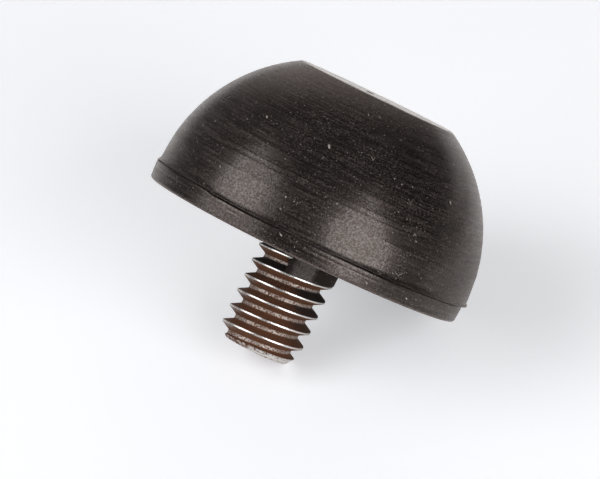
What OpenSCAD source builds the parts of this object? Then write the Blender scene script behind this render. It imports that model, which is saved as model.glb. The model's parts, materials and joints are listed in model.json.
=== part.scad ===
// Rubber foot: a flat-topped dome of black rubber moulded over a threaded steel stud.
// The foot stands on its ground face at z = 0, with the stud pointing up along +Z.

/* [Rubber body] */
// Diameter at the parting line, where the dome meets the rim
body_dia = 25.4; // [20:0.1:40]
// Height from the ground face to the seating face
body_height = 12.8; // [11:0.1:20]
// Height of the straight rim between the parting line and the seating face
rim_height = 1.4; // [1:0.1:3]
// Radius of the rounded edge round the seating face
rim_edge_r = 0.5; // [0.2:0.1:0.8]
// Diameter of the ground face, measured to its sharp corner
ground_face_dia = 12.4; // [8:0.1:16]
// Radius that softens the ground face's corner
ground_edge_r = 0.5; // [0.2:0.1:2]

/* [Moulding marks] */
// How far the flash ridge at the parting line stands out of the dome
flash_reach = 0.2; // [0.1:0.05:0.5]
// Thickness of the flash ridge
flash_thick = 0.15; // [0.1:0.05:0.3]
// Sideways step between the two halves of the mould
mould_step = 0.12; // [0:0.02:0.2]
// How far the rubber crept up the stud
collar_height = 1.5; // [0.5:0.1:4]
// Wall of the crept rubber over the thread crests, at the seating face
collar_wall = 0.15; // [0.1:0.01:0.3]
// Wall it has thinned to at its far end
collar_end_wall = 0.05; // [0.02:0.01:0.1]
// Angle round the stud at which the crept rubber begins, from +X
collar_from = 70; // [0:5:180]
// How far round the stud the crept rubber reaches
collar_sweep = 209; // [90:1:300]

/* [Stud] */
// Major diameter of the thread, over its crests
stud_dia = 6.35; // [5:0.05:8]
// Length of stud that stands out of the seating face
stud_length = 8.4; // [6:0.1:20]
// Pitch of the thread
thread_pitch = 1.27; // [0.8:0.01:1.75]
// Length of the chamfer at the stud's tip
tip_chamfer = 0.9; // [0.3:0.1:1.5]

/* [Anchor head] */
// Diameter of the plain shank inside the rubber
shank_dia = 5.5; // [4:0.1:6]
// Width of the hexagonal head across its flats
head_width = 11.1; // [8:0.1:12]
// Height of the head
head_height = 4; // [2:0.1:4.5]
// Rubber between the seating face and the head
head_cover = 2.6; // [2:0.1:4]

/* [Hidden] */
$fn = 96;
past = 1; // how far a cutting shape runs past what it cuts

// Body, worked out: a sphere through the parting line and the ground face's corner
body_r = body_dia / 2;
ground_r = ground_face_dia / 2;
parting_z = body_height - rim_height;
dome_z = (body_r ^ 2 + parting_z ^ 2 - ground_r ^ 2) / (2 * parting_z);
dome_r = norm([body_r, parting_z - dome_z]);
ground_edge_x = sqrt((dome_r - ground_edge_r) ^ 2 - (dome_z - ground_edge_r) ^ 2);
ground_edge_top = dome_z - (dome_z - ground_edge_r) * dome_r / (dome_r - ground_edge_r);

// Stud, worked out from a 60 degree thread form with flats of P/8 and P/4
stud_r = stud_dia / 2;
thread_depth = 5 / 8 * thread_pitch * cos(30);
root_r = stud_r - thread_depth;
crest_flat = thread_pitch / 8;
root_flat = thread_pitch / 4;
tip_z = body_height + stud_length;
crest_count = floor(stud_length / thread_pitch) + 1;
head_top = body_height - head_cover;
head_corner_r = head_width / 2 / cos(30);

// Half section of the dome, cut flat at the ground face and softened at its corner
module dome_section() {
  difference() {
    intersection() {
      translate([0, dome_z]) circle(r = dome_r);
      square([dome_r + past, parting_z]);
    }
    difference() {
      translate([ground_edge_x, 0]) square([dome_r, ground_edge_top]);
      translate([ground_edge_x, ground_edge_r]) circle(r = ground_edge_r);
    }
  }
}

// Half section of the rim, with its outer edge rounded at the seating face
module rim_section() {
  difference() {
    translate([0, parting_z]) square([body_r, rim_height]);
    translate([body_r - rim_edge_r, body_height - rim_edge_r])
      difference() {
        square(rim_edge_r + past);
        circle(r = rim_edge_r);
      }
  }
}

// Thin ridge left where the mould halves meet
module flash_ridge() {
  translate([0, 0, parting_z - flash_thick / 2])
    cylinder(h = flash_thick, r = body_r + flash_reach);
}

// Rubber that crept up one side of the stud, thinning towards its end
module crept_collar() {
  translate([0, 0, body_height])
    rotate([0, 0, collar_from])
      rotate_extrude(angle = collar_sweep)
        polygon([
          [0, -rim_edge_r],
          [stud_r + collar_wall, -rim_edge_r],
          [stud_r + collar_wall, 0],
          [stud_r + collar_end_wall, collar_height],
          [0, collar_height]
        ]);
}

// Hexagonal head that locks the stud into the rubber
module anchor_head() {
  translate([0, 0, head_top - head_height])
    cylinder(h = head_height, r = head_corner_r, $fn = 6);
}

// One thread crest as a ring with 60 degree flanks
module crest_ring() {
  rotate_extrude()
    polygon([
      [0, -(thread_pitch - root_flat) / 2],
      [root_r, -(thread_pitch - root_flat) / 2],
      [stud_r, -crest_flat / 2],
      [stud_r, crest_flat / 2],
      [root_r, (thread_pitch - root_flat) / 2],
      [0, (thread_pitch - root_flat) / 2]
    ]);
}

// Outer limit of the thread: clear of every crest, then chamfered to the root at the tip
module stud_envelope() {
  translate([0, 0, body_height - thread_pitch])
    cylinder(h = thread_pitch + stud_length - tip_chamfer, r = stud_r + past);
  translate([0, 0, tip_z - tip_chamfer])
    cylinder(h = tip_chamfer, r1 = stud_r, r2 = root_r);
}

// Exposed thread: the core and every crest, the first of them level with the seating face
module thread() {
  translate([0, 0, body_height]) cylinder(h = stud_length, r = root_r);
  intersection() {
    for (i = [0 : crest_count - 1])
      translate([0, 0, body_height + i * thread_pitch]) crest_ring();
    stud_envelope();
  }
}

// The whole steel stud: head and shank inside the rubber, thread outside
module threaded_stud() {
  color([0.42, 0.29, 0.23]) {
    anchor_head();
    translate([0, 0, head_top]) cylinder(h = head_cover, d = shank_dia);
    thread();
  }
}

// The rubber moulding, with the stud's place left out of it
module rubber_body() {
  color([0.17, 0.16, 0.16])
    difference() {
      union() {
        rotate_extrude() dome_section();
        translate([mould_step, 0, 0]) rotate_extrude() rim_section();
        flash_ridge();
        crept_collar();
      }
      threaded_stud();
    }
}

rubber_body();
threaded_stud();
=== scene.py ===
"""Dresses a screw-in rubber foot: a moulded dome with its flash ridge, on a rusty threaded stud.

The pieces are modelled in millimetres on the same axes as the solids, with +Z from the ground
face to the stud's tip, and are brought to metres when they are done. Angles round the foot
are azimuths from +X, in degrees. The side that the camera sees is -Y.
"""

from __future__ import annotations

import json
import logging
import math
from contextlib import contextmanager
from dataclasses import dataclass
from enum import Enum
from typing import Callable, Iterator, Mapping, Sequence, Union

import bpy
from mathutils import Matrix, Vector, noise

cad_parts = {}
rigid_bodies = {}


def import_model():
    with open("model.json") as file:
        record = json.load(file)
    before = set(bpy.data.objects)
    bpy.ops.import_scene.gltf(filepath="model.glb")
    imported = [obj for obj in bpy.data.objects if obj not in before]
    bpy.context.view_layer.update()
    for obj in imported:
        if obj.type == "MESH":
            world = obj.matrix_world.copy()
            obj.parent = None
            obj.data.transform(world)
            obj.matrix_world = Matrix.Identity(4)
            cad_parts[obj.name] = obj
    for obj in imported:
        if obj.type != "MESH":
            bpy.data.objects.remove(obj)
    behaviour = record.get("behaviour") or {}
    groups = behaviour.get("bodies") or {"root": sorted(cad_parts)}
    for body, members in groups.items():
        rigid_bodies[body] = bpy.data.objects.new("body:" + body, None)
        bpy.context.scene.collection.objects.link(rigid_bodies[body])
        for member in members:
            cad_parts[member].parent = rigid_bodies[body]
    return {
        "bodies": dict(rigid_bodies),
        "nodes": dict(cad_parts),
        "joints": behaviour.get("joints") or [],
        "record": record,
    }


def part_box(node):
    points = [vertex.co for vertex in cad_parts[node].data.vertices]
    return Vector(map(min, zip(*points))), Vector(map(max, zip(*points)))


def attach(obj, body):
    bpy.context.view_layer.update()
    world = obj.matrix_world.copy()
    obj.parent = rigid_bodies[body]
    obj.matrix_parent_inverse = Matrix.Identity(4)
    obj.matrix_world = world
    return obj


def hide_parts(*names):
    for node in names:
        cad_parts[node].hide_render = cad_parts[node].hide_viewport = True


LOG = logging.getLogger("rubber_foot")
BODY = "root"
MM = 0.001
TURN = 2 * math.pi
MERGE_REACH = 1e-4

Colour = tuple[float, float, float, float]
Direction = tuple[float, float, float]
Point = tuple[float, float]
Move = Callable[[Vector], Vector]

BLACK: Colour = (0.0, 0.0, 0.0, 1.0)
WHITE: Colour = (1.0, 1.0, 1.0, 1.0)


# ---------------------------------------------------------------- shader arithmetic


class Wire:
    """A node's output, on which arithmetic adds Math nodes."""

    def __init__(self, nodes: "NodeSheet", socket: bpy.types.NodeSocket) -> None:
        """Holds the output socket and the sheet of nodes that it is on."""
        self.nodes = nodes
        self.socket = socket

    def math(self, operation: str, *values: "Value") -> "Wire":
        """Adds a Math node of this operation, with these inputs in order."""
        return self.nodes.node("ShaderNodeMath", {"operation": operation}, dict(enumerate(values)))

    def sister(self, output: str) -> "Wire":
        """Gives another output of the same node."""
        return Wire(self.nodes, self.socket.node.outputs[output])

    def __add__(self, other: "Value") -> "Wire":
        """Adds two values."""
        return self.math("ADD", self, other)

    __radd__ = __add__

    def __sub__(self, other: "Value") -> "Wire":
        """Takes the other value from this one."""
        return self.math("SUBTRACT", self, other)

    def __rsub__(self, other: "Value") -> "Wire":
        """Takes this value from the other one."""
        return self.math("SUBTRACT", other, self)

    def __mul__(self, other: "Value") -> "Wire":
        """Multiplies two values."""
        return self.math("MULTIPLY", self, other)

    __rmul__ = __mul__

    def __truediv__(self, other: "Value") -> "Wire":
        """Divides this value by the other one."""
        return self.math("DIVIDE", self, other)

    def fraction(self) -> "Wire":
        """Keeps what is after the point."""
        return self.math("FRACT", self)

    def size(self) -> "Wire":
        """Drops the sign."""
        return self.math("ABSOLUTE", self)

    def root(self) -> "Wire":
        """Takes the square root."""
        return self.math("SQRT", self)

    def most(self, other: "Value") -> "Wire":
        """Takes the larger of two values."""
        return self.math("MAXIMUM", self, other)

    def step(self, low: float, high: float) -> "Wire":
        """Rises smoothly from 0 at low to 1 at high, or falls where low is the larger."""
        inputs = {"Value": self, "From Min": low, "From Max": high}
        return self.nodes.node("ShaderNodeMapRange", {"interpolation_type": "SMOOTHSTEP"}, inputs)


Value = Union[Wire, float, Sequence[float]]


@dataclass(frozen=True)
class Cloud:
    """Smooth noise: its features in a unit, how many finer layers, and how far it is shifted."""

    scale: float
    detail: float = 2.0
    shift: Direction = (0.0, 0.0, 0.0)


@dataclass(frozen=True)
class Crumbs:
    """Small round crumbs: cells in a unit, a crumb's radius, the share of cells that have one."""

    scale: float
    reach: float
    chance: float
    strength: float


class NodeSheet:
    """The nodes of one material, or of the world."""

    def __init__(self, owner: Union[bpy.types.Material, bpy.types.World]) -> None:
        """Clears the owner's nodes and keeps its tree.

        Args:
            owner: The material or world.
        """
        owner.use_nodes = True
        self.tree = owner.node_tree
        self.tree.nodes.clear()

    def node(
        self,
        kind: str,
        settings: Mapping[str, object],
        inputs: Mapping[Union[str, int], Value],
        output: Union[str, int] = 0,
    ) -> Wire:
        """Adds a node, sets it up and feeds it.

        Args:
            kind: The node's type.
            settings: Its own settings, which are set first.
            inputs: Values or links, by the socket's name or number.
            output: The socket to hand back.

        Returns:
            The output asked for.
        """
        made = self.tree.nodes.new(kind)
        for name, value in settings.items():
            setattr(made, name, value)
        for key, value in inputs.items():
            socket = made.inputs[key]
            if isinstance(value, Wire):
                self.tree.links.new(value.socket, socket)
            else:
                socket.default_value = value
        return Wire(self, made.outputs[output])

    def light_path(self, ray: str) -> Wire:
        """Gives 1 for this kind of ray, and 0 for any other."""
        return self.node("ShaderNodeLightPath", {}, {}, ray)

    def colour(self, first: Value, second: Value, share: Value) -> Wire:
        """Mixes two colours, of which the second shows by its share."""
        inputs = {0: share, 6: first, 7: second}
        return self.node("ShaderNodeMix", {"data_type": "RGBA"}, inputs, 2)

    def vector(self, operation: str, *values: Value, output: int = 0) -> Wire:
        """Adds a Vector Math node with these inputs, in order."""
        inputs = dict(enumerate(values))
        return self.node("ShaderNodeVectorMath", {"operation": operation}, inputs, output)

    def dot(self, first: Value, second: Value) -> Wire:
        """Gives the dot product of two vectors."""
        return self.vector("DOT_PRODUCT", first, second, output=1)

    def length(self, vector: Value) -> Wire:
        """Measures a vector."""
        return self.vector("LENGTH", vector, output=1)

    def scaled(self, vector: Value, scale: Value) -> Wire:
        """Multiplies a vector by a number."""
        inputs = {"Vector": vector, "Scale": scale}
        return self.node("ShaderNodeVectorMath", {"operation": "SCALE"}, inputs)

    def combined(self, x: Value, y: Value, z: Value) -> Wire:
        """Makes a vector of three values."""
        return self.node("ShaderNodeCombineXYZ", {}, {"X": x, "Y": y, "Z": z})

    def cloud(self, place: Value, cloud: Cloud) -> Wire:
        """Reads smooth noise.

        Args:
            place: Where it is read.
            cloud: The noise.

        Returns:
            The noise's value, from 0 to 1.
        """
        shifted = self.vector("ADD", place, cloud.shift)
        inputs = {"Vector": shifted, "Scale": cloud.scale, "Detail": cloud.detail}
        return self.node("ShaderNodeTexNoise", {"noise_dimensions": "3D"}, inputs, "Fac")

    def stirred(self, place: Value, scale: float, reach: float) -> Wire:
        """Moves a place about by noise, so that what is drawn there is ragged.

        Args:
            place: The place.
            scale: How many of the noise's features fit in a unit.
            reach: How far apart the noise can bring two places.

        Returns:
            The moved place.
        """
        stir = self.cloud(place, Cloud(scale)).sister("Color")
        off_centre = self.vector("SUBTRACT", stir, (0.5, 0.5, 0.5))
        return self.vector("ADD", place, self.scaled(off_centre, reach))

    def crumbs(self, place: Value, crumbs: Crumbs) -> Wire:
        """Strews crumbs, each with a brightness of its own.

        Args:
            place: Where they are read.
            crumbs: The crumbs.

        Returns:
            How strongly a crumb shows, from 0 to their strength.
        """
        faintest = 0.25
        inputs = {"Vector": place, "Scale": crumbs.scale}
        near = self.node("ShaderNodeTexVoronoi", {"feature": "F1"}, inputs, "Distance")
        pick = self.node("ShaderNodeSeparateColor", {}, {0: near.sister("Color")})
        reach = crumbs.reach * crumbs.scale
        picked = pick.step(1 - crumbs.chance, 1 - crumbs.chance + 0.01)
        brightness = faintest + pick.sister("Green") * (1 - faintest)
        return near.step(reach, reach * 0.5) * picked * brightness * crumbs.strength

    def dab(self, place: Value, start: Vector, end: Vector, reach: float) -> Wire:
        """Draws a short mark from one point to another.

        Args:
            place: Where it is read.
            start: Where the mark begins.
            end: Where it ends.
            reach: Half its width.

        Returns:
            1 on the mark and 0 off it.
        """
        along = end - start
        off = self.vector("SUBTRACT", place, tuple(start))
        share = self.dot(off, tuple(along)).step(0.0, along.length_squared)
        nearest = self.scaled(tuple(along), share)
        return self.vector("DISTANCE", off, nearest, output=1).step(reach, reach * 0.5)

    def end(self, kind: str, shader: Wire) -> None:
        """Feeds a shader to a new output node of this type."""
        output = self.tree.nodes.new(kind)
        self.tree.links.new(shader.socket, output.inputs["Surface"])

    def surface(self, relief: Wire, looks: Mapping[str, Value]) -> None:
        """Ends a material in a Principled shader.

        Args:
            relief: How far the surface stands out, in millimetres.
            looks: The shader's other inputs, by the socket's name.
        """
        inputs = {"Height": relief, "Distance": MM, "Strength": 1.0}
        normal = self.node("ShaderNodeBump", {}, inputs, "Normal")
        shader = self.node("ShaderNodeBsdfPrincipled", {}, {**looks, "Normal": normal}, "BSDF")
        self.end("ShaderNodeOutputMaterial", shader)


@dataclass(frozen=True)
class Place:
    """Where a point of a finish lies on the foot, in millimetres."""

    point: Wire
    height: Wire
    radius: Wire
    turned: Wire
    turns: Wire

    @classmethod
    def on(cls, sheet: NodeSheet) -> "Place":
        """Works out a point's place from its object coordinates.

        Args:
            sheet: The nodes to add to.

        Returns:
            The place, with its radius, its direction round the axis and its share of a turn.
        """
        point = sheet.scaled(sheet.node("ShaderNodeTexCoord", {}, {}, "Object"), 1 / MM)
        x = sheet.node("ShaderNodeSeparateXYZ", {}, {0: point}, "X")
        y, z = x.sister("Y"), x.sister("Z")
        radius = (x * x + y * y).root()
        turned = sheet.combined(x / radius, y / radius, 0.0)
        turns = x.math("ARCTAN2", y, x) / TURN
        return cls(point, z, radius, turned, turns)


@dataclass(frozen=True)
class TurnedLines:
    """Fine lines round the axis: how fast they change along and across, and their layers."""

    along: float
    across: float
    detail: float

    def on(self, sheet: NodeSheet, here: Place) -> Wire:
        """Draws the lines.

        Args:
            sheet: The nodes to add to.
            here: Where they are read.

        Returns:
            The lines' value, from 0 to 1.
        """
        along = sheet.scaled(here.turned, self.along)
        across = sheet.combined(0.0, 0.0, (here.height + here.radius) * self.across)
        return sheet.cloud(sheet.vector("ADD", along, across), Cloud(1.0, self.detail))


# ---------------------------------------------------------------- the modelling bench


class Fit(Enum):
    """How one closed shape is worked into another."""

    JOIN = "UNION"
    CUT = "DIFFERENCE"
    KEEP = "INTERSECT"


def clear_selection() -> None:
    """Leaves edit mode and deselects every object."""
    if bpy.context.object and bpy.context.object.mode != "OBJECT":
        bpy.ops.object.mode_set(mode="OBJECT")
    bpy.ops.object.select_all(action="DESELECT")


def take(piece: bpy.types.Object) -> None:
    """Makes a piece the only one that is selected, and the active one.

    Args:
        piece: The piece.
    """
    clear_selection()
    piece.select_set(True)
    bpy.context.view_layer.objects.active = piece


@contextmanager
def editing(piece: bpy.types.Object) -> Iterator[None]:
    """Holds a piece in edit mode, with all of it selected at first.

    Args:
        piece: The piece.

    Yields:
        Nothing, while the piece is in edit mode.
    """
    take(piece)
    bpy.ops.object.mode_set(mode="EDIT")
    bpy.ops.mesh.select_all(action="SELECT")
    yield
    bpy.ops.object.mode_set(mode="OBJECT")


def modify(piece: bpy.types.Object, kind: str, settings: Mapping[str, object]) -> None:
    """Applies a modifier to a piece.

    Args:
        piece: The piece.
        kind: The modifier's type.
        settings: Its settings.
    """
    take(piece)
    modifier = piece.modifiers.new(kind.lower(), kind)
    for name, value in settings.items():
        setattr(modifier, name, value)
    bpy.ops.object.modifier_apply(modifier=modifier.name)


def drawn_line(name: str, points: Sequence[Point]) -> bpy.types.Object:
    """Draws a section's line by extruding one corner from point to point.

    Args:
        name: The new piece's name.
        points: Radius and height of each point, in order.

    Returns:
        The piece, which has edges and no face yet.
    """
    clear_selection()
    bpy.ops.mesh.primitive_plane_add(size=1.0)
    piece = bpy.context.object
    piece.name = name
    places = [Vector((radius, 0.0, height)) for radius, height in points]
    with editing(piece):
        bpy.ops.mesh.merge(type="CENTER")
        bpy.ops.transform.translate(value=places[0])
        for here, there in zip(places, places[1:]):
            bpy.ops.mesh.extrude_region_move(TRANSFORM_OT_translate={"value": there - here})
    return piece


def wind_up(piece: bpy.types.Object, turns: int, steps: int, angle: float, rise: float) -> None:
    """Winds a section's line round the axis, level or up a right-hand helix.

    Args:
        piece: The line.
        turns: How many times it goes through the angle.
        steps: Steps in each of them.
        angle: The angle, in radians.
        rise: How far it climbs in one.
    """
    settings = {"axis": "Z", "angle": angle, "screw_offset": rise, "iterations": turns}
    settings.update(steps=steps, render_steps=steps)
    settings.update(use_merge_vertices=True, merge_threshold=MERGE_REACH)
    modify(piece, "SCREW", settings)


def close_up() -> None:
    """In edit mode, merges doubled points and turns every face outwards."""
    bpy.ops.mesh.select_all(action="SELECT")
    bpy.ops.mesh.remove_doubles(threshold=MERGE_REACH)
    bpy.ops.mesh.normals_make_consistent(inside=False)


def turned_body(name: str, points: Sequence[Point], steps: int) -> bpy.types.Object:
    """Spins a section's line into a closed body of revolution.

    Args:
        name: The new piece's name.
        points: Radius and height of each point, with both ends on the axis.
        steps: How many steps the turn has.

    Returns:
        The closed body.
    """
    piece = drawn_line(name, points)
    wind_up(piece, 1, steps, TURN, 0.0)
    with editing(piece):
        close_up()
    return piece


def slice_off(height: float, above: bool) -> None:
    """In edit mode, cuts the piece at a height and closes the cut.

    Args:
        height: Where the level cut lies.
        above: Whether the part above it goes, or else the part below.
    """
    bpy.ops.mesh.select_all(action="SELECT")
    bpy.ops.mesh.bisect(
        plane_co=(0, 0, height),
        plane_no=(0, 0, 1),
        use_fill=True,
        clear_outer=above,
        clear_inner=not above,
    )


def work_in(piece: bpy.types.Object, tool: bpy.types.Object, fit: Fit) -> None:
    """Joins, cuts or trims a piece with another closed shape, which is used up."""
    modify(piece, "BOOLEAN", {"operation": fit.value, "solver": "MANIFOLD", "object": tool})
    bpy.data.objects.remove(tool)


def copied(piece: bpy.types.Object, name: str) -> bpy.types.Object:
    """Copies a piece, with a mesh of its own.

    Args:
        piece: The piece.
        name: The copy's name.

    Returns:
        The copy.
    """
    take(piece)
    bpy.ops.object.duplicate(linked=False)
    copy = bpy.context.object
    copy.name = name
    return copy


def reshape(piece: bpy.types.Object, move: Move) -> None:
    """Moves every point of a piece, as a sculptor's brush would.

    Args:
        piece: The piece.
        move: Gives a point's new place from its old one.
    """
    for vertex in piece.data.vertices:
        vertex.co = move(vertex.co.copy())
    piece.data.update()


def straight(start: Point, end: Point, steps: int) -> list[Point]:
    """Gives points along a straight stretch of a section, with both ends.

    Args:
        start: Radius and height of the first point.
        end: Radius and height of the last point.
        steps: How many steps it takes.

    Returns:
        The points.
    """
    out, up = end[0] - start[0], end[1] - start[1]
    shares = [i / steps for i in range(steps + 1)]
    return [(start[0] + out * share, start[1] + up * share) for share in shares]


def arc(centre: Point, radius: float, start: float, end: float, steps: int) -> list[Point]:
    """Gives points along a round stretch of a section, with both ends.

    Args:
        centre: Radius and height of the arc's centre.
        radius: The arc's own radius.
        start: Where it begins, in radians from straight out.
        end: Where it ends.
        steps: How many steps it takes.

    Returns:
        The points.
    """
    angles = [start + (end - start) * i / steps for i in range(steps + 1)]
    return [(centre[0] + radius * math.cos(a), centre[1] + radius * math.sin(a)) for a in angles]


def azimuth_of(point: Vector) -> float:
    """Gives a point's azimuth from +X, from 0 to 360 degrees."""
    return math.degrees(math.atan2(point.y, point.x)) % 360


def toward_azimuth(azimuth: float) -> Vector:
    """Gives the level direction of an azimuth."""
    return Vector((math.cos(math.radians(azimuth)), math.sin(math.radians(azimuth)), 0.0))


def outward_at(point: Vector) -> Vector:
    """Gives the level direction from the axis to a point that is off it."""
    return Vector((point.x, point.y, 0.0)) / point.xy.length


def apart(first: float, second: float) -> float:
    """Gives the angle between two azimuths, in degrees."""
    return abs((first - second + 180) % 360 - 180)


def smooth_step(value: float, low: float, high: float) -> float:
    """Rises smoothly from 0 at low to 1 at high, or falls where low is the larger."""
    share = min(1.0, max(0.0, (value - low) / (high - low)))
    return share * share * (3 - 2 * share)


@dataclass(frozen=True)
class Layer:
    """Smooth noise, from about minus its reach to its reach.

    The scale is how many of its features fit in a millimetre, and the seed picks one pattern
    among many.
    """

    reach: float
    scale: float
    seed: float

    def at(self, point: Vector) -> float:
        """Gives the noise at a point."""
        shift = Vector((self.seed, -self.seed, 2 * self.seed))
        return self.reach * noise.noise(point * self.scale + shift)


Layers = tuple[Layer, ...]


def wander(layers: Layers, point: Vector) -> float:
    """Gives the sum of layers of noise at a point."""
    return sum(layer.at(point) for layer in layers)


def hand_over(piece: bpy.types.Object, node: str, finish: bpy.types.Material) -> None:
    """Brings a finished piece to metres, dresses it and lets it stand for its solid.

    Args:
        piece: The piece, in millimetres.
        node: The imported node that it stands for.
        finish: Its material.
    """
    smooth_angle = math.radians(40)
    with editing(piece):
        bpy.ops.transform.resize(value=(MM, MM, MM), center_override=(0, 0, 0))
    bpy.ops.object.shade_smooth_by_angle(angle=smooth_angle)
    piece.data.materials.clear()
    piece.data.materials.append(finish)
    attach(piece, BODY)
    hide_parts(node)
    LOG.info("%s: %d faces, for %s", piece.name, len(piece.data.polygons), node)


# ---------------------------------------------------------------- sizes from the frame


@dataclass(frozen=True)
class FootSizes:
    """The foot's main sizes in millimetres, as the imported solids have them."""

    ridge_r: float
    seat_z: float
    tip_z: float
    stud_r: float
    head_z: float
    head_corner_r: float

    @classmethod
    def of(cls, frame: Mapping[str, object]) -> "FootSizes":
        """Reads the sizes from the frame.


        Returns:
            The sizes.
        """
        mounts = {mount["name"]: mount for mount in frame["record"]["mounts"]}
        rubber_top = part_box("rubber_body")[1]
        stud_low, stud_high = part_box("threaded_stud")
        return cls(
            ridge_r=rubber_top.y / MM,
            seat_z=mounts["seating_face"]["pos_m"][2] / MM,
            tip_z=stud_high.z / MM,
            stud_r=mounts["stud"]["dims"]["r_mm"],
            head_z=stud_low.z / MM,
            head_corner_r=stud_high.x / MM,
        )


# ---------------------------------------------------------------- the stud


@dataclass
class ThreadedStud:
    """The steel stud: a rusty right-hand thread, and the head that locks it into the rubber."""

    sizes: FootSizes
    pitch: float = 1.27
    crest_at_x: float = 1.02
    crest_over: float = 0.03
    chamfer: float = 0.9
    head_height: float = 4.0
    head_bevel: float = 0.35
    shank_r: float = 2.75
    steps: int = 144
    pits: Layers = (Layer(0.012, 4.0, 3.1), Layer(0.006, 11.0, 7.7))
    nick_depth: float = 0.05
    nicks: Layer = Layer(1.0, 0.9, 5.2)

    @property
    def root_r(self) -> float:
        """Radius at the thread's root."""
        return self.sizes.stud_r - 5 / 8 * self.pitch * math.cos(math.radians(30))

    @property
    def chamfer_slope(self) -> float:
        """How much wider the stud's end gets with each millimetre down its chamfer."""
        return (self.sizes.stud_r - self.root_r) / self.chamfer

    def section(self) -> list[Point]:
        """Draws one pitch of the thread, from the middle of a root to the middle of the next.

        Returns:
            Radius and height of each point, with the crest at height 0.
        """
        rounding, flank_steps = 0.06, 5
        crest_half = self.pitch / 16
        root_edge = self.pitch / 2 - self.pitch / 8
        crest_r = self.sizes.stud_r + self.crest_over
        flank_top = (crest_r - 0.5 * rounding, crest_half + 0.3 * rounding)
        flank_foot = (self.root_r + 0.5 * rounding, root_edge - 0.3 * rounding)
        upper = [
            (crest_r, 0.0),
            (crest_r, crest_half - 0.6 * rounding),
            (crest_r - 0.14 * rounding, crest_half - 0.1 * rounding),
            *straight(flank_top, flank_foot, flank_steps),
            (self.root_r + 0.14 * rounding, root_edge + 0.1 * rounding),
            (self.root_r, root_edge + 0.6 * rounding),
            (self.root_r, self.pitch / 2),
        ]
        lower = [(radius, -height) for radius, height in reversed(upper[1:])]
        return lower + upper

    def thread(self) -> bpy.types.Object:
        """Winds the thread and cuts it level at both ends.

        Returns:
            The closed thread, from inside the rubber to past the tip.
        """
        below, above = 1.0, 0.3
        turns_below = 2
        turns = turns_below + math.ceil((self.sizes.tip_z - self.sizes.seat_z) / self.pitch) + 2
        start = self.sizes.seat_z + self.crest_at_x - (turns_below + 1) * self.pitch
        points = [(radius, start + height) for radius, height in self.section()]
        piece = drawn_line("threaded_stud_steel", points)
        wind_up(piece, turns, self.steps, TURN, self.pitch)
        with editing(piece):
            close_up()
            slice_off(self.sizes.tip_z + above, above=True)
            slice_off(self.sizes.seat_z - below, above=False)
            close_up()
        return piece

    def blank(self) -> bpy.types.Object:
        """Turns the chamfered rod that the thread is trimmed to.

        Returns:
            The closed rod, a little wider than the thread.
        """
        proud, tip_edge, buried = 0.12, 0.06, 2.0
        slope, tip_z, bottom = self.chamfer_slope, self.sizes.tip_z, self.sizes.seat_z - buried
        outside = self.sizes.stud_r + proud
        points = [
            *straight((0.0, bottom), (outside, bottom), 2),
            (outside, tip_z - self.chamfer - proud / slope),
            (self.root_r + slope * tip_edge, tip_z - tip_edge),
            (self.root_r - 0.02, tip_z - 0.01),
            *straight((self.root_r - 0.08, tip_z), (0.0, tip_z), 8),
        ]
        return turned_body("chamfered_blank", points, self.steps)

    def anchor(self) -> bpy.types.Object:
        """Shapes the hexagonal head inside the rubber, and joins the shank to it.

        Returns:
            The closed head and shank.
        """
        head_overlap, thread_overlap = 1.0, 0.7
        clear_selection()
        bpy.ops.mesh.primitive_cylinder_add(
            vertices=6,
            radius=self.sizes.head_corner_r,
            depth=self.head_height,
            location=(0, 0, self.sizes.head_z + self.head_height / 2),
            rotation=(0, 0, math.radians(30)),
        )
        head = bpy.context.object
        bpy.ops.object.transform_apply(location=True, rotation=True, scale=True)
        modify(head, "BEVEL", {"width": self.head_bevel, "segments": 2})
        bottom = self.sizes.head_z + self.head_height - head_overlap
        top = self.sizes.seat_z - thread_overlap
        points = [(0.0, bottom), (self.shank_r, bottom), (self.shank_r, top), (0.0, top)]
        work_in(head, turned_body("shank", points, self.steps), Fit.JOIN)
        return head

    def wear(self, point: Vector) -> Vector:
        """Pits the steel with rust and knocks its crests about a little.

        Args:
            point: A point of the stud.

        Returns:
            Where it goes.
        """
        axis_r, buried, crest_depth = 0.5, 0.2, 0.2
        nick_from, nick_whole = 0.35, 0.7
        radius, stud_r = point.xy.length, self.sizes.stud_r
        if point.z < self.sizes.seat_z - buried or radius < axis_r:
            return point
        nick = self.nick_depth * smooth_step(self.nicks.at(point), nick_from, nick_whole)
        nick *= smooth_step(radius, stud_r - crest_depth, stud_r)
        return point + outward_at(point) * (min(wander(self.pits, point), 0.0) - nick)

    def build(self) -> bpy.types.Object:
        """Builds the stud.

        Returns:
            The closed stud, in millimetres.
        """
        piece = self.thread()
        work_in(piece, self.blank(), Fit.KEEP)
        work_in(piece, self.anchor(), Fit.JOIN)
        reshape(piece, self.wear)
        return piece


# ---------------------------------------------------------------- the rubber


@dataclass(frozen=True)
class Stretch:
    """A stretch of the foot's edge, round an azimuth.

    It is whole as far from its azimuth as whole_within, and gone at gone_at, in degrees.
    """

    azimuth: float
    whole_within: float
    gone_at: float

    def share(self, azimuth: float) -> float:
        """Gives how much of the stretch there is at an azimuth, from 0 to 1."""
        return smooth_step(apart(azimuth, self.azimuth), self.gone_at, self.whole_within)


@dataclass(frozen=True)
class FinLip(Stretch):
    """A stretch where the fin stands out further, and is bent up or down."""

    reach: float
    rise: float


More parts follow.
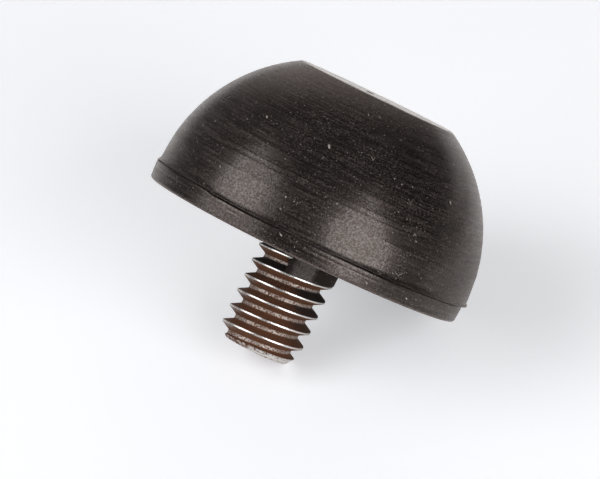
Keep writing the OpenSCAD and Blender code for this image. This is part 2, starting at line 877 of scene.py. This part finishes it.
@dataclass
class RubberBody:
    """The rubber moulding: dome, rim, the flash between them, and the collar up the stud."""

    sizes: FootSizes
    flash_reach: float = 0.2
    rim_height: float = 1.4
    rim_edge_r: float = 0.22
    rim_draft: float = 0.05
    ground_r: float = 6.2
    ground_edge_r: float = 0.5
    tool_marks: tuple[float, ...] = (5.35, 5.75, 6.36, 7.41, 7.84, 8.92)
    crack_height: float = 0.09
    dome_step: float = -0.06
    rim_step: float = 0.12
    steps: int = 480
    lips: tuple[FinLip, ...] = (FinLip(2, 3, 14, 0.06, 0.05), FinLip(181, 2, 9, 0.06, -0.10))
    undercut: Stretch = Stretch(181, 4, 16)
    undercut_share: float = 0.8
    jog_depth: float = 0.10
    fin_ragged: Layers = (Layer(0.02, 6.0, 1.3), Layer(0.006, 14.0, 4.9))
    line_strays: Layers = (Layer(0.03, 3.1, 7.7), Layer(0.015, 9.0, 2.4))
    crack_shut: float = 0.06
    crack_uneven: Layer = Layer(0.4, 0.7, 5.5)
    soft_waves: Layers = (Layer(0.012, 0.16, 8.4), Layer(0.004, 0.6, 2.2))
    collar_from: float = 70.0
    collar_to: float = 290.0
    collar_wall: float = 0.10
    collar_core: float = 2.0
    collar_ragged: Layer = Layer(7.0, 2.6, 6.1)
    collar_uneven: Layers = (Layer(0.02, 1.1, 2.7), Layer(0.01, 3.0, 9.4))

    @property
    def body_r(self) -> float:
        """Radius at the parting line."""
        return self.sizes.ridge_r - self.flash_reach

    @property
    def parting_z(self) -> float:
        """Height of the parting line."""
        return self.sizes.seat_z - self.rim_height

    @property
    def lip_r(self) -> float:
        """Radius of the fin's drawn lip, before it is made ragged."""
        return self.body_r + 0.13

    @property
    def dome_z(self) -> float:
        """Height of the dome's centre, by the parting line and the ground face's corner."""
        part = self.parting_z
        return (self.body_r**2 + part**2 - self.ground_r**2) / (2 * part)

    @property
    def dome_r(self) -> float:
        """Radius of the dome's sphere."""
        return math.hypot(self.body_r, self.parting_z - self.dome_z)

    def dome(self) -> list[Point]:
        """Draws the ground face, its edge and the dome, as far as the flash.

        Returns:
            Radius and height of each point, from the axis outwards.
        """
        flash_start = 0.48
        edge_r = self.ground_edge_r
        edge_x = math.sqrt((self.dome_r - edge_r) ** 2 - (self.dome_z - edge_r) ** 2)
        meet = math.atan2(edge_r - self.dome_z, edge_x)
        last = math.asin((self.parting_z - flash_start - self.dome_z) / self.dome_r)
        points = straight((0.0, 0.0), (edge_x, 0.0), 10)
        points += arc((edge_x, edge_r), edge_r, -TURN / 4, meet, 6)[1:-1]
        return points + self.turned_bands(meet, last)

    def turned_bands(self, start: float, end: float) -> list[Point]:
        """Draws the dome as a turned mould leaves it, in bands with a fine ledge between them.

        Args:
            start: Where the dome begins, in radians round its centre.
            end: Where it ends.

        Returns:
            Radius and height of each point.
        """
        ledge, ledge_half, support = 0.006, 0.025 / self.dome_r, 0.06 / self.dome_r
        step, flattest, roundest = math.radians(1.1), math.radians(10), math.radians(20)
        flatness = 0.8
        marks = [math.asin((height - self.dome_z) / self.dome_r) for height in self.tool_marks]
        starts = [start, *(mark + ledge_half for mark in marks)]
        ends = [*(mark - ledge_half for mark in marks), end]
        points = []
        for first, last in zip(starts, ends):
            sweep, middle = last - first, (first + last) / 2
            flat = flatness * smooth_step(sweep, roundest, flattest)
            sink = ledge if last < end else 0.0
            steps = max(2, round(sweep / step))
            edge = support / sweep
            for share in (0.0, edge, *(i / steps for i in range(1, steps)), 1 - edge, 1.0):
                angle = first + sweep * share
                chord = self.dome_r * math.cos(sweep / 2) / math.cos(angle - middle)
                radius = self.dome_r + (chord - self.dome_r) * flat - sink * share
                points.append((radius * math.cos(angle), self.dome_z + radius * math.sin(angle)))
        return points

    def flash(self) -> list[Point]:
        """Draws the flare to the fin at the parting line, and the crack under the fin.

        Returns:
            Radius and height of each point, from the dome to the rim.
        """
        part, body, lip = self.parting_z, self.body_r, self.lip_r
        crack = body - 0.15
        return [
            (body + 0.010, part - 0.40),
            (body + 0.032, part - 0.30),
            (body + 0.060, part - 0.21),
            (body + 0.092, part - 0.14),
            (lip - 0.010, part - 0.095),
            (lip, part - 0.08),
            (lip, part - 0.065),
            (lip - 0.009, part - 0.050),
            (lip - 0.022, part - 0.042),
            (crack + 0.03, part - 0.036),
            (crack, part - 0.02),
            (crack, part + self.crack_height - 0.02),
        ]

    def rim(self) -> list[Point]:
        """Draws the rim, with its groove, draft and round edge, and the seating face.

        Returns:
            Radius and height of each point, up to the axis.
        """
        seat, edge = self.sizes.seat_z, self.rim_edge_r
        outside, groove = self.body_r - 0.02, self.parting_z + 0.42
        inside, crack_top = outside - self.rim_draft, self.parting_z + self.crack_height
        return [
            (outside - 0.05, crack_top),
            (outside - 0.02, crack_top + 0.012),
            (outside - 0.006, crack_top + 0.026),
            (outside, crack_top + 0.05),
            (outside - 0.002, groove),
            (outside - 0.014, groove + 0.035),
            (outside - 0.016, groove + 0.065),
            *straight((outside - 0.006, groove + 0.10), (inside - 0.006, seat - edge), 5)[:-1],
            *arc((inside - edge, seat - edge), edge, 0.0, TURN / 4, 6),
            *straight((inside - edge, seat), (0.0, seat), 14)[1:],
        ]

    def fin_reach(self, azimuth: float) -> float:
        """Gives how far the ragged fin stands out past its drawn lip at an azimuth."""
        lips = sum(lip.reach * lip.share(azimuth) for lip in self.lips)
        return wander(self.fin_ragged, toward_azimuth(azimuth)) + lips

    def line_rise(self, azimuth: float) -> float:
        """Gives how far the parting line strays up the foot.

        Args:
            azimuth: Where along the line.

        Returns:
            The rise, which is below 0 where the line jogs down.
        """
        jog_from, whole_from, whole_to, jog_to = 307, 310, 345, 357
        jog = smooth_step(azimuth, jog_from, whole_from) * smooth_step(azimuth, jog_to, whole_to)
        return wander(self.line_strays, toward_azimuth(azimuth)) - self.jog_depth * jog

    def parting_marks(self, point: Vector) -> Vector:
        """Shapes the ragged fin, the flare and crack on its two sides, and the uneven line.

        Args:
            point: A point of the moulding.

        Returns:
            Where it goes.
        """
        fin_half, flare_from, fin_from_r = 0.18, 0.12, self.body_r + 0.06
        crack_to, crack_whole, line_to, line_whole = 0.3, 0.2, 0.38, 0.2
        rim_from_r, rim_whole_r, side_from, side_whole = 12.0, 12.4, 5.0, 11.0
        azimuth, radius, over = azimuth_of(point), point.xy.length, point.z - self.parting_z
        moved = point.copy()
        if radius > self.body_r and abs(over) < fin_half:
            out = smooth_step(radius, fin_from_r, self.lip_r)
            moved.xy *= 1 + out * self.fin_reach(azimuth) / radius
            for lip in self.lips:
                moved.z += lip.rise * out * lip.share(azimuth)
        if radius > self.body_r and over < -flare_from:
            cut = self.undercut_share * self.undercut.share(azimuth)
            moved.xy *= 1 - cut * (radius - self.body_r) / radius
        if radius > rim_from_r and 0.0 < over < crack_to:
            shut = self.crack_shut * smooth_step(abs(point.x), side_from, side_whole)
            shut *= 1 + self.crack_uneven.at(point)
            moved.z -= shut * smooth_step(over, crack_to, crack_whole)
        near = smooth_step(abs(over), line_to, line_whole)
        near *= smooth_step(radius, rim_from_r, rim_whole_r)
        moved.z += near * self.line_rise(azimuth)
        return moved

    def mould_marks(self, point: Vector) -> Vector:
        """Shapes what the mould left: the parting, the step between its halves, soft waves.

        Args:
            point: A point of the moulding.

        Returns:
            Where it goes.
        """
        axis_r, flat_margin, spare = 1.0, 0.4, 0.005
        rim_from_r, rim_whole_r, dome_from_z, dome_whole_z = 3.5, 6.0, -2.0, 4.0
        radius = point.xy.length
        moved = self.parting_marks(point)
        if point.z > self.parting_z:
            moved.x += self.rim_step * smooth_step(radius, rim_from_r, rim_whole_r)
        else:
            moved.x += self.dome_step * smooth_step(point.z, dome_from_z, dome_whole_z)
        if radius > axis_r:
            seat_free = smooth_step(self.sizes.seat_z - point.z, 0.0, flat_margin)
            ground_free = smooth_step(point.z, 0.0, flat_margin)
            moved.xy *= 1 + wander(self.soft_waves, point) * seat_free * ground_free / radius
        moved.xy *= min(1.0, (self.sizes.ridge_r - spare) / max(moved.xy.length, 1e-6))
        return moved

    def collar(self, stud: ThreadedStud) -> bpy.types.Object:
        """Winds the rubber that crept up the stud, which ends along a crest of the thread.

        Args:
            stud: The stud that it clings to.

        Returns:
            The closed collar, still full where the stud goes.
        """
        inside, buried, wall_steps, turn_steps = 0.6, 1.2, 14, 150
        core, outside = self.collar_core, self.sizes.stud_r + self.collar_wall
        sweep = math.radians(self.collar_to - self.collar_from)
        crest = stud.crest_at_x + stud.pitch * self.collar_from / 360
        bottom, top = self.sizes.seat_z - buried, self.sizes.seat_z + crest - stud.pitch / 16
        points = [
            (inside, bottom),
            (core, bottom),
            *straight((outside, bottom), (outside, top - 0.1), wall_steps)[:-1],
            (outside - 0.01, top - 0.06),
            (outside - 0.05, top - 0.02),
            (outside - 0.12, top),
            (core, top + 0.05),
            (inside, top + 0.05),
            (inside, bottom),
        ]
        piece = drawn_line("crept_collar", points)
        start = -math.radians(self.collar_from)
        with editing(piece):
            bpy.ops.mesh.remove_doubles(threshold=MERGE_REACH)
            bpy.ops.transform.rotate(value=start, orient_axis="Z", center_override=(0, 0, 0))
        wind_up(piece, 1, turn_steps, sweep, stud.pitch * sweep / TURN)
        with editing(piece):
            bpy.ops.mesh.fill_holes(sides=0)
            close_up()
        reshape(piece, self.thinned_out)
        return piece

    def thinned_out(self, point: Vector) -> Vector:
        """Thins the collar out towards its two ends, and makes it a little uneven.

        Args:
            point: A point of the collar.

        Returns:
            Where it goes.
        """
        radius, azimuth, core, fade = point.xy.length, azimuth_of(point), self.collar_core, 12.0
        if radius <= core:
            return point
        inward = min(azimuth - self.collar_from, self.collar_to - azimuth)
        full = smooth_step(inward + self.collar_ragged.at(point), 0.0, fade)
        uneven = wander(self.collar_uneven, point)
        return point + outward_at(point) * ((core - radius) * (1 - full) + uneven * full)

    def build(self, stud: ThreadedStud, steel: bpy.types.Object) -> bpy.types.Object:
        """Builds the rubber round the finished stud.

        Args:
            stud: The stud's sizes.
            steel: The finished stud, of which the rubber takes the print.

        Returns:
            The closed rubber body, in millimetres.
        """
        points = self.dome() + self.flash() + self.rim()
        piece = turned_body("rubber_body_moulding", points, self.steps)
        reshape(piece, self.mould_marks)
        work_in(piece, self.collar(stud), Fit.JOIN)
        work_in(piece, copied(steel, "stud_print"), Fit.CUT)
        return piece


# ---------------------------------------------------------------- finishes


@dataclass(frozen=True)
class Dust:
    """A bit of dust or lint: azimuth and height of its two ends, and half its width."""

    start: Point
    end: Point
    reach: float
    strength: float = 1.0


@dataclass(frozen=True)
class RubberFinish:
    """Satin black rubber: fine turned lines, a dull bloom, dust, lint, a worn ground face and two
    painted highlights.
    """

    body: RubberBody
    deep: Colour = (0.0030, 0.0028, 0.0028, 1.0)
    bloom: Colour = (0.062, 0.052, 0.048, 1.0)
    dust: Colour = (0.34, 0.31, 0.29, 1.0)
    scuffed: Colour = (0.11, 0.10, 0.093, 1.0)
    # painted highlight colour for the collar's front
    collar_highlight: Colour = (0.058, 0.055, 0.055, 1.0)
    # painted highlight colour for the rim's round edge by the seat
    painted_edge_highlight: Colour = (0.10, 0.078, 0.073, 1.0)
    shine_tint: Colour = (1.0, 0.81, 0.73, 1.0)
    sheen_tint: Colour = (1.0, 0.72, 0.62, 1.0)
    collar_highlight_side: Direction = (-0.242, -0.970, 0.0)
    smudge_at: Direction = (0.6, -0.4, 0.0)
    smudge_squeeze: Direction = (2.9, 0.45, 1.0)
    roughness: float = 0.28
    fine_lines: TurnedLines = TurnedLines(3.2, 6.2, 3.0)
    broad_lines: TurnedLines = TurnedLines(1.1, 1.7, 2.0)
    grain: Cloud = Cloud(7.5)
    powder: Cloud = Cloud(9.0, 4.0, (40.0, 0.0, 0.0))
    mottle: Cloud = Cloud(7.0, 2.0, (0.0, 25.0, 0.0))
    patches: Cloud = Cloud(0.4, 3.0)
    fine_crumbs: Crumbs = Crumbs(4.2, 0.060, 0.30, 0.55)
    coarse_crumbs: Crumbs = Crumbs(1.4, 0.085, 0.24, 0.9)
    marks: tuple[Dust, ...] = (
        Dust((278.9, 4.50), (278.4, 4.62), 0.10),
        Dust((307.8, 4.62), (307.2, 4.70), 0.08),
        Dust((221.9, 4.50), (221.5, 4.62), 0.08, 0.9),
        Dust((242.9, 5.55), (241.6, 5.72), 0.035, 0.8),
        Dust((241.6, 5.72), (240.9, 5.45), 0.035, 0.7),
        Dust((261.9, 3.95), (261.0, 4.10), 0.04, 0.8),
        Dust((261.0, 4.10), (260.6, 3.86), 0.035, 0.7),
        Dust((270.6, 1.32), (270.0, 1.38), 0.06, 0.7),
        Dust((264.9, 1.12), (264.2, 1.18), 0.05, 0.7),
        Dust((235.4, 8.05), (235.0, 8.10), 0.06, 0.8),
        Dust((236.7, 7.62), (236.3, 7.68), 0.05, 0.8),
        Dust((310.8, 9.30), (310.2, 9.42), 0.06, 0.7),
        Dust((283.1, 10.05), (282.7, 10.12), 0.06, 0.7),
        Dust((313.2, 11.00), (312.8, 11.08), 0.06, 0.7),
        Dust((309.3, 11.08), (308.9, 11.18), 0.065, 0.9),
        Dust((238.4, 10.68), (236.9, 10.85), 0.04, 0.7),
        Dust((236.9, 10.85), (235.9, 10.58), 0.045, 0.8),
        Dust((235.9, 10.58), (234.3, 10.41), 0.04, 0.7),
        Dust((228.5, 12.15), (228.2, 12.19), 0.07, 0.9),
        Dust((224.3, 11.95), (224.0, 11.99), 0.055, 0.7),
        Dust((328.8, 12.10), (328.4, 12.16), 0.05, 0.7),
        Dust((278.5, 11.72), (278.0, 11.78), 0.07, 0.8),
        Dust((245.6, 12.25), (245.2, 12.30), 0.07, 0.8),
    )

    def outside_at(self, spot: Point) -> Vector:
        """Finds a point of the rubber's outside.

        Args:
            spot: Its azimuth and height.

        Returns:
            The point, in millimetres.
        """
        turned, height = math.radians(spot[0]), spot[1]
        radius, shift = self.body.body_r - 0.04, self.body.rim_step
        if height < self.body.parting_z:
            radius = math.sqrt(self.body.dome_r**2 - (height - self.body.dome_z) ** 2)
            shift = self.body.dome_step
        return Vector((radius * math.cos(turned) + shift, radius * math.sin(turned), height))

    def dusty(self, sheet: NodeSheet, here: Place) -> Wire:
        """Lays dust: fine crumbs everywhere, a few larger, and the marks that stand out.

        Args:
            sheet: The nodes to add to.
            here: Where the rubber is read.

        Returns:
            How dusty it is, from 0 to 1.
        """
        place = sheet.stirred(here.point, scale=9.0, reach=0.06)
        covered = sheet.crumbs(place, self.fine_crumbs)
        covered = covered.most(sheet.crumbs(place, self.coarse_crumbs))
        for mark in self.marks:
            start, end = self.outside_at(mark.start), self.outside_at(mark.end)
            covered = covered.most(sheet.dab(place, start, end, mark.reach) * mark.strength)
        return covered

    def material(self) -> bpy.types.Material:
        """Makes the material.

        Returns:
            The new material.
        """
        made = bpy.data.materials.new("moulded_rubber")
        sheet = NodeSheet(made)
        here = Place.on(sheet)
        seat, crept_r = self.body.sizes.seat_z, 3.7
        edge_from_z, edge_whole_z = seat - 0.24, seat - 0.10
        edge_from_r, edge_whole_r = 12.20, 12.38
        fine, bands = self.fine_lines.on(sheet, here), self.broad_lines.on(sheet, here)
        clouds = (self.grain, self.powder, self.mottle, self.patches)
        grain, powder, mottle, patches = (sheet.cloud(here.point, cloud) for cloud in clouds)
        dusty = self.dusty(sheet, here)
        haze = (powder * 0.65 + fine * 0.35).step(0.47, 0.63)
        haze = haze * (0.5 + patches.step(0.3, 0.65) * 0.5)

        crept = here.height.step(seat - 0.1, seat + 0.1)
        crept = crept * here.radius.step(crept_r, crept_r - 0.2)
        # Painted highlight: grey on the collar's front, the side towards the camera, stands in for
        # its lit face; its sides stay black.
        collar_highlight = sheet.dot(here.turned, self.collar_highlight_side)
        collar_highlight = crept * (collar_highlight + (grain - 0.5) * 0.04).step(0.945, 0.985)
        greasy = mottle.step(0.46, 0.57) * (1.0 - crept) * 0.55

        ground = here.height.step(0.10, 0.02)
        from_smudge = sheet.vector("SUBTRACT", here.point, self.smudge_at)
        from_smudge = sheet.vector("MULTIPLY", from_smudge, self.smudge_squeeze)
        spot = sheet.length(from_smudge).step(1.15, 0.75)
        clean = (1.0 - spot) * (patches + (grain - 0.5) * 0.4).step(0.25, 0.5)
        polished = ground * clean
        # Painted highlight: a light brown line along the rim's round edge by the seat, where the
        # edge catches the light.
        edge = here.height.step(edge_from_z, edge_whole_z)
        edge = edge * here.radius.step(edge_from_r, edge_whole_r)
        edge = edge * (grain * 0.5 + powder * 0.5).step(0.36, 0.58)

        base = sheet.colour(self.deep, self.bloom, haze)
        base = sheet.colour(base, self.deep, crept)
        base = sheet.colour(base, self.collar_highlight, collar_highlight * grain.step(0.25, 0.60))
        base = sheet.colour(base, self.scuffed, polished)
        base = sheet.colour(base, self.painted_edge_highlight, edge)
        base = sheet.colour(base, self.dust, dusty)
        rough = self.roughness + (bands - 0.5) * 0.16 + (fine - 0.5) * 0.12 + (grain - 0.5) * 0.1
        rough = rough + dusty * 0.3 + crept * 0.55 - collar_highlight * 0.3 + ground * spot * 0.5
        looks = {
            "Base Color": base,
            "Roughness": rough,
            "Specular IOR Level": 0.45,
            "Specular Tint": self.shine_tint,
            "Sheen Weight": 0.04,
            "Sheen Roughness": 0.5,
            "Sheen Tint": self.sheen_tint,
            "Coat Weight": polished.most(greasy),
            "Coat Roughness": 0.15,
        }
        sheet.surface(fine * 0.006 + bands * 0.016 + grain * 0.012 + dusty * 0.015, looks)
        return made


@dataclass(frozen=True)
class RustySteelFinish:
    """Rusted steel: bare along the crests, dull in the roots, and darkened near the rubber by dirt
    and painted shade.

    A phase is a height's share of a pitch, from one crest up to the next. The flank over a
    crest has phases up to about 0.4, and the flank under one has phases from about 0.6.
    """

    stud: ThreadedStud
    rust: Colour = (0.122, 0.051, 0.026, 1.0)
    dark_rust: Colour = (0.075, 0.033, 0.018, 1.0)
    bright: Colour = (0.80, 0.79, 0.78, 1.0)
    dull: Colour = (0.46, 0.42, 0.39, 1.0)
    # black for the dirt and the painted shade on the steel
    grime_and_shade_colour: Colour = (0.017, 0.014, 0.013, 1.0)
    right_side: Direction = (-1.0, 0.0, 0.0)
    patches: Cloud = Cloud(1.2, 3.0)
    grain: Cloud = Cloud(5.0, 4.0)
    fine: Cloud = Cloud(16.0, 3.0)
    specks: Cloud = Cloud(8.0, 3.0, (0.0, 0.0, 30.0))

    def material(self) -> bpy.types.Material:
        """Makes the material.

        Returns:
            The new material.
        """
        made = bpy.data.materials.new("rusty_steel")
        sheet = NodeSheet(made)
        here = Place.on(sheet)
        stud, tip_z, seat_z = self.stud, self.stud.sizes.tip_z, self.stud.sizes.seat_z
        turn = here.height / stud.pitch - here.turns - (seat_z + stud.crest_at_x) / stud.pitch
        phase = (turn + 100.0).fraction()
        from_root = (phase - 0.5).size()
        clouds = (self.patches, self.grain, self.fine, self.specks)
        patches, grain, fine, specks = (sheet.cloud(here.point, cloud) for cloud in clouds)
        uneven = fine - 0.5
        right = sheet.dot(here.turned, self.right_side)
        above_seat = here.height - seat_z
        threaded = here.height.step(tip_z - 0.02, tip_z - 0.05)

        crest = (from_root + (grain - 0.5) * 0.05 + uneven * 0.03).step(0.436, 0.462) * threaded
        off_chamfer = here.radius - stud.root_r - (tip_z - here.height) * stud.chamfer_slope
        tip = here.height.step(tip_z - stud.chamfer, tip_z - stud.chamfer + 0.1)
        tip = tip * off_chamfer.step(-0.06, -0.02)
        worn = crest.most(tip * (grain * 0.6 + patches * 0.4 + right * 0.08).step(0.36, 0.62))
        root = (from_root + uneven * 0.08).step(0.125, 0.065) * specks.step(0.40, 0.56) * threaded
        edges = right.step(-0.60, -0.95) * phase.step(0.30, 0.08) * above_seat.step(2.4, 3.4)
        bare = root.most(edges * specks.step(0.38, 0.56) * threaded) * 0.8

        # Partly dirt, partly painted shade: black on the flank under each crest, the one facing
        # the rubber. It is strongest on the -X side and near the seat, and runs along the whole
        # first turn.
        grime_and_shade_spread = right - 0.03 - above_seat * 0.10 + (grain - 0.5) + uneven * 0.9
        grime_and_shade = grime_and_shade_spread.step(-0.12, 0.16) * above_seat.step(9.5, 2.0)
        grime_and_shade = grime_and_shade.most(turn.step(1.03, 0.97))
        grime_and_shade = grime_and_shade * phase.step(0.52, 0.60) * phase.step(0.99, 0.94) * threaded
        # Painted shade: the flank under each crest, which faces the rubber, is fully darkened
        # within 2 mm of the seat and fades out by 6.5 mm.
        shade = phase.step(0.54, 0.62) * (grain + uneven * 0.5).step(0.62, 0.42)
        shade = shade * above_seat.step(6.5, 2.0)

        base = sheet.colour(self.dark_rust, self.rust, (grain + uneven * 0.3).step(0.25, 0.5))
        base = sheet.colour(base, self.grime_and_shade_colour, shade * 0.6)
        base = sheet.colour(base, self.dull, bare)
        base = sheet.colour(base, self.bright, worn)
        base = sheet.colour(base, self.grime_and_shade_colour, grime_and_shade)
        looks = {
            "Base Color": base,
            "Roughness": 0.62 - worn * 0.34 - bare * 0.2 + uneven * 0.2,
            "Metallic": worn.most(bare) * (1.0 - grime_and_shade),
            "Specular IOR Level": 0.25,
        }
        sheet.surface(grain * 0.02 + fine * 0.012, looks)
        return made


# ---------------------------------------------------------------- camera, table and light


@dataclass(frozen=True)
class Window:
    """A soft window, by its direction on the camera's right, up and back axes, and its spread.

    The spreads are half angles in degrees, level with the table and upright on it.
    """

    name: str
    toward: Direction
    level_spread: float
    upright_spread: float
    radiance: float


@dataclass(frozen=True)
class Studio:
    """The camera over the white table on which the foot lies, and the light on it."""

    camera_at: Direction = (0.00056, -0.3043, -0.0067)
    pitch: float = 93.56
    roll: float = -154.31
    lens: float = 243.5
    table_rise: float = 35.4
    table_depth: float = 0.01789
    table_size: float = 0.8
    table_white: Colour = (0.945, 0.91, 0.88, 1.0)
    table_seen: Colour = (0.85, 0.86, 0.885, 1.0)
    table_glow: Colour = (0.362, 0.367, 0.379, 1.0)
    table_dark: Colour = (0.30, 0.28, 0.27, 1.0)
    table_shine: float = 0.2
    shadow_r: float = 20.0
    shadow_drop: float = 0.05
    shadow_depth: float = 0.75
    window_distance: float = 0.6
    windows: tuple[Window, ...] = (
        Window("left_window", (-0.652, 0.522, 0.550), 15.9, 14.8, 2.30),
        Window("low_left_window", (-0.810, 0.215, 0.546), 24.8, 21.0, 1.85),
        Window("right_window", (0.500, -0.185, 0.846), 18.9, 23.0, 4.35),
    )
    wall_toward: Direction = (0.158, 0.815, -0.557)
    wall_light: Colour = (0.63, 0.56, 0.53, 1.0)
    room_light: Colour = (0.14, 0.14, 0.142, 1.0)
    dim_light: Colour = (0.05, 0.05, 0.05, 1.0)
    backdrop: Colour = (0.95, 0.96, 0.98, 1.0)

    @property
    def view(self) -> Matrix:
        """The camera's own axes: right, up and back."""
        tilt = Matrix.Rotation(math.radians(self.pitch), 3, "X")
        return tilt @ Matrix.Rotation(math.radians(self.roll), 3, "Z")

    @property
    def right(self) -> Vector:
        """The direction to the camera's right."""
        return self.view @ Vector((1.0, 0.0, 0.0))

    @property
    def table_up(self) -> Vector:
        """The direction straight up from the table."""
        rise = math.radians(self.table_rise)
        return self.view @ Vector((0.0, math.cos(rise), math.sin(rise)))

    def camera(self) -> None:
        """Sets up the camera."""
        clear_selection()
        bpy.ops.object.camera_add(location=self.camera_at)
        camera = bpy.context.object
        camera.name = "camera"
        camera.rotation_euler = self.view.to_euler()
        camera.data.lens = self.lens
        camera.data.clip_start = 0.01
        camera.data.clip_end = 10.0
        bpy.context.scene.camera = camera

    def table(self) -> None:
        """Lays the white table under the rim and the stud's tip, and shows its upper side."""
        clear_selection()
        bpy.ops.mesh.primitive_plane_add(size=self.table_size)
        table = bpy.context.object
        table.name = "table"
        table.rotation_euler = self.table_up.to_track_quat("Z", "Y").to_euler()
        table.location = -self.table_up * self.table_depth
        made = bpy.data.materials.new("white_table")
        table.data.materials.append(made)
        sheet = NodeSheet(made)
        glossy = sheet.light_path("Is Glossy Ray")
        seen = sheet.light_path("Is Camera Ray").most(glossy * self.table_shine)
        behind = sheet.node("ShaderNodeNewGeometry", {}, {}, "Backfacing")
        dark = self.dark_sides(sheet, behind.sister("Position"))
        colour = sheet.colour(self.table_white, self.table_seen, seen)
        looks = {
            "Base Color": sheet.colour(colour, self.table_dark, glossy * dark),
            "Roughness": 0.7,
            "Emission Color": sheet.colour(BLACK, self.table_glow, seen),
            "Emission Strength": 1.0,
            "Specular IOR Level": 0.2,
        }
        white = sheet.node("ShaderNodeBsdfPrincipled", {}, looks, "BSDF")
        clear = sheet.node("ShaderNodeBsdfTransparent", {}, {})
        one_sided = sheet.node("ShaderNodeMixShader", {}, {0: behind, 1: white, 2: clear})
        sheet.end("ShaderNodeOutputMaterial", one_sided)

    def dark_sides(self, sheet: NodeSheet, place: Wire) -> Wire:
        """Finds the parts of the table that reflections show dark, left and right of the foot.

        Args:
            sheet: The nodes to add to.
            place: The table's place, in metres.

        Returns:
            How dark the table is, from 0 to 1.
        """
        rightward = sheet.dot(place, tuple(self.right))
        away = sheet.dot(place, tuple(self.table_up.cross(self.right)))
        right_side = rightward.step(0.028, 0.055) * away.step(0.055, 0.012)
        return right_side.most(rightward.step(-0.035, -0.07) * 0.6)

    def ground_shadow(self) -> None:
        """Lays a clear disc under the ground face, on which the camera sees a soft shadow."""
        radius, drop = self.shadow_r * MM, self.shadow_drop * MM
        clear_selection()
        bpy.ops.mesh.primitive_circle_add(
            vertices=96, radius=radius, fill_type="NGON", location=(0, 0, -drop)
        )
        disc = bpy.context.object
        disc.name = "ground_shadow"
        made = bpy.data.materials.new("soft_shadow")
        disc.data.materials.append(made)
        sheet = NodeSheet(made)
        seen = sheet.light_path("Is Camera Ray")
        below = sheet.node("ShaderNodeNewGeometry", {}, {}, "Backfacing")
        faded = sheet.length(below.sister("Position")).step(radius, 0.45 * radius)
        reach = {"Distance": 0.4 * radius}
        open_share = sheet.node("ShaderNodeAmbientOcclusion", {"samples": 16}, reach, "AO")
        shadow = (1.0 - open_share) * faded * seen * (1.0 - below) * self.shadow_depth
        colour = sheet.colour(WHITE, BLACK, shadow)
        clear = sheet.node("ShaderNodeBsdfTransparent", {}, {"Color": colour})
        sheet.end("ShaderNodeOutputMaterial", clear)

    def lamps(self) -> None:
        """Hangs a soft lamp for each window, upright on the table's level."""
        reach = 2 * self.window_distance
        for window in self.windows:
            away = (self.view @ Vector(window.toward)).normalized()
            across = self.table_up.cross(away).normalized()
            upright = away.cross(across)
            clear_selection()
            bpy.ops.object.light_add(type="AREA", location=away * self.window_distance)
            lamp = bpy.context.object
            lamp.name = window.name
            lamp.rotation_euler = Matrix((across, upright, away)).transposed().to_euler()
            lamp.visible_camera = False
            width = reach * math.tan(math.radians(window.level_spread))
            height = reach * math.tan(math.radians(window.upright_spread))
            lamp.data.shape = "RECTANGLE"
            lamp.data.size = width
            lamp.data.size_y = height
            lamp.data.energy = math.pi * window.radiance * width * height

    def room(self) -> None:
        """Lights the room softly, brightest from the wall behind the foot."""
        world = bpy.data.worlds.new("room")
        bpy.context.scene.world = world
        sheet = NodeSheet(world)
        toward = sheet.node("ShaderNodeTexCoord", {}, {}, "Generated")
        wall = (self.view @ Vector(self.wall_toward)).normalized()
        facing = sheet.dot(toward, tuple(wall)).step(0.80, 0.995)
        dim = sheet.dot(toward, tuple(self.right)).step(0.5, 0.9)
        light = sheet.colour(self.room_light, self.wall_light, facing)
        light = sheet.colour(light, self.dim_light, dim)
        colour = sheet.colour(light, self.backdrop, sheet.light_path("Is Camera Ray"))
        shader = sheet.node("ShaderNodeBackground", {}, {"Color": colour, "Strength": 1.0})
        sheet.end("ShaderNodeOutputWorld", shader)

    def build(self) -> None:
        """Sets up everything that isn't the foot."""
        self.camera()
        self.table()
        self.ground_shadow()
        self.lamps()
        self.room()
        bpy.context.scene.view_settings.view_transform = "Standard"


def main(frame: Mapping[str, object]) -> None:
    """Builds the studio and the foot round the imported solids.
    """
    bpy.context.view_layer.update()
    sizes = FootSizes.of(frame)
    Studio().build()
    stud = ThreadedStud(sizes)
    steel = stud.build()
    body = RubberBody(sizes)
    rubber = body.build(stud, steel)
    hand_over(rubber, "rubber_body", RubberFinish(body).material())
    hand_over(steel, "threaded_stud", RustySteelFinish(stud).material())


if __name__ == "__main__":
    logging.basicConfig(level=logging.INFO)
    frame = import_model()
    main(frame)
